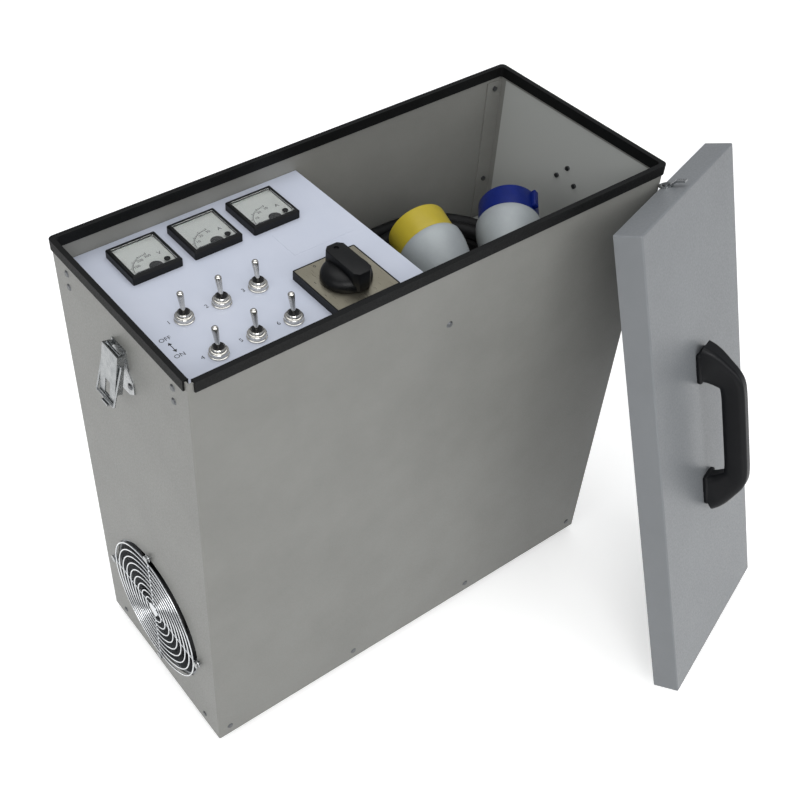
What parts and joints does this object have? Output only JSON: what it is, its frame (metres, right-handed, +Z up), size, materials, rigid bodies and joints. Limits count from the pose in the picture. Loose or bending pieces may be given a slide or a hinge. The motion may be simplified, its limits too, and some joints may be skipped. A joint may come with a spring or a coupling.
{
  "type": "generator load bank",
  "caption": "Portable generator load bank: grey sheet-metal case with meters, toggle switches and a rotary selector, a cord well with coiled leads and plugs, side fan, and a lift-off lid.",
  "frame": {"origin": "on the floor, under the middle of the case (footprint centre of the case walls), with the feet standing at Z = 0", "axes": "+X along the case from the fan end to the outlet end, +Y from the front of the case to its back, +Z up"},
  "size_m": [0.6423, 0.4588, 0.5075],
  "materials": {
    "case_paint": "semi-gloss grey paint",
    "label_white": "matt pale printed facing",
    "lid_paint": "semi-gloss grey paint",
    "rubber": "matt black rubber",
    "black_plastic": "fine-grained black plastic",
    "knob_black": "black plastic",
    "dial_white": "white dial",
    "clear_cover": "clear cover",
    "pointer_black": "black",
    "nickel": "bright plating",
    "champagne": "brushed anodised",
    "zinc_steel": "bright zinc",
    "cast_aluminium": "cast",
    "ceramic": "vitreous coating",
    "cord_black": "matt black rubber",
    "plug_yellow": "yellow plastic",
    "plug_blue": "blue plastic",
    "plug_grey": "light grey plastic",
    "brass": "bare brass"
  },
  "bodies": {
    "case": {"base_tray": "case_paint", "cable_110": "cord_black", "cable_230": "cord_black", "cable_glands": "black_plastic", "case_fasteners": "zinc_steel", "case_wrap": "case_paint", "coil_110": "cord_black", "coil_230": "cord_black", "control_panel": "case_paint", "duct_deck": "case_paint", "element_rack": "zinc_steel", "fan_frame": "cast_aluminium", "fan_guard": "nickel", "fan_screws": "zinc_steel", "feet": "rubber", "heating_elements": "ceramic", "latch_base_left": "zinc_steel", "latch_base_right": "zinc_steel", "latch_pins": "zinc_steel", "meter_cases": "black_plastic", "meter_dials": "dial_white", "meter_windows": "clear_cover", "outlet_grille": "case_paint", "panel_angle": "case_paint", "panel_label": "label_white", "plug_collar_110": "plug_yellow", "plug_collar_230": "plug_blue", "plug_housing_110": "plug_grey", "plug_housing_230": "plug_grey", "plug_pins": "brass", "rim_trim": "rubber", "selector_bezel": "black_plastic", "selector_body": "black_plastic", "selector_plate": "champagne", "storage_well": "case_paint", "switch_bodies": "black_plastic", "switch_bushings": "nickel", "switch_nuts": "nickel", "terminal_block": "black_plastic", "thermal_cutout": "black_plastic"},
    "pointer_1": {"meter_pointer_1": "pointer_black"},
    "pointer_2": {"meter_pointer_2": "pointer_black"},
    "pointer_3": {"meter_pointer_3": "pointer_black"},
    "switch_1": {"switch_lever_1": "nickel"},
    "switch_2": {"switch_lever_2": "nickel"},
    "switch_3": {"switch_lever_3": "nickel"},
    "switch_4": {"switch_lever_4": "nickel"},
    "switch_5": {"switch_lever_5": "nickel"},
    "switch_6": {"switch_lever_6": "nickel"},
    "selector": {"selector_knob": "knob_black", "selector_shaft": "zinc_steel"},
    "lever_left": {"latch_lever_left": "zinc_steel"},
    "bail_left": {"latch_bail_left": "zinc_steel"},
    "lever_right": {"latch_lever_right": "zinc_steel"},
    "bail_right": {"latch_bail_right": "zinc_steel"},
    "rotor": {"fan_rotor": "black_plastic"},
    "lid": {"lid_shell": "lid_paint", "lid_handle": "black_plastic", "lid_keepers": "zinc_steel", "lid_fasteners": "zinc_steel"}
  },
  "joints": [
    {"name": "pointer_1_turn", "type": "hinge", "parent": "case", "child": "pointer_1", "pos_m": [-0.1855, 0.0488, 0.4854], "axis": [0, 0, -1], "range_deg": [0, 90]},
    {"name": "pointer_2_turn", "type": "hinge", "parent": "case", "child": "pointer_2", "pos_m": [-0.1255, 0.0488, 0.4854], "axis": [0, 0, -1], "range_deg": [0, 90]},
    {"name": "pointer_3_turn", "type": "hinge", "parent": "case", "child": "pointer_3", "pos_m": [-0.0655, 0.0488, 0.4854], "axis": [0, 0, -1], "range_deg": [0, 90]},
    {"name": "switch_1_throw", "type": "hinge", "parent": "case", "child": "switch_1", "pos_m": [-0.199, -0.0167, 0.487], "axis": [1, 0, 0], "range_deg": [0, 25]},
    {"name": "switch_2_throw", "type": "hinge", "parent": "case", "child": "switch_2", "pos_m": [-0.1634, -0.0167, 0.487], "axis": [1, 0, 0], "range_deg": [0, 25]},
    {"name": "switch_3_throw", "type": "hinge", "parent": "case", "child": "switch_3", "pos_m": [-0.1278, -0.0167, 0.487], "axis": [1, 0, 0], "range_deg": [0, 25]},
    {"name": "switch_4_throw", "type": "hinge", "parent": "case", "child": "switch_4", "pos_m": [-0.199, -0.0677, 0.487], "axis": [1, 0, 0], "range_deg": [0, 25]},
    {"name": "switch_5_throw", "type": "hinge", "parent": "case", "child": "switch_5", "pos_m": [-0.1634, -0.0677, 0.487], "axis": [1, 0, 0], "range_deg": [0, 25]},
    {"name": "switch_6_throw", "type": "hinge", "parent": "case", "child": "switch_6", "pos_m": [-0.1278, -0.0677, 0.487], "axis": [1, 0, 0], "range_deg": [0, 25]},
    {"name": "selector_turn", "type": "hinge", "parent": "case", "child": "selector", "pos_m": [-0.0667, -0.0556, 0.489], "axis": [0, 0, 1], "range_deg": [-60, 60]},
    {"name": "latch_left_lever", "type": "hinge", "parent": "case", "child": "lever_left", "pos_m": [-0.2557, 0, 0.464], "axis": [0, -1, 0], "range_deg": [-90, 10]},
    {"name": "latch_left_bail", "type": "hinge", "parent": "lever_left", "child": "bail_left", "pos_m": [-0.25839, 0, 0.45737], "axis": [0, 1, 0], "range_deg": [0, 165]},
    {"name": "latch_right_lever", "type": "hinge", "parent": "case", "child": "lever_right", "pos_m": [0.2557, 0, 0.464], "axis": [0, 1, 0], "range_deg": [-90, 10]},
    {"name": "latch_right_bail", "type": "hinge", "parent": "lever_right", "child": "bail_right", "pos_m": [0.25839, 0, 0.45737], "axis": [0, -1, 0], "range_deg": [0, 165]},
    {"name": "fan_spin", "type": "hinge", "parent": "case", "child": "rotor", "pos_m": [-0.226, 0, 0.116], "axis": [1, 0, 0], "continuous": true},
    {"name": "lid_lift", "type": "slide", "parent": "case", "child": "lid", "axis": [0, 0, 1], "range_m": [0, 0.45]}
  ]
}
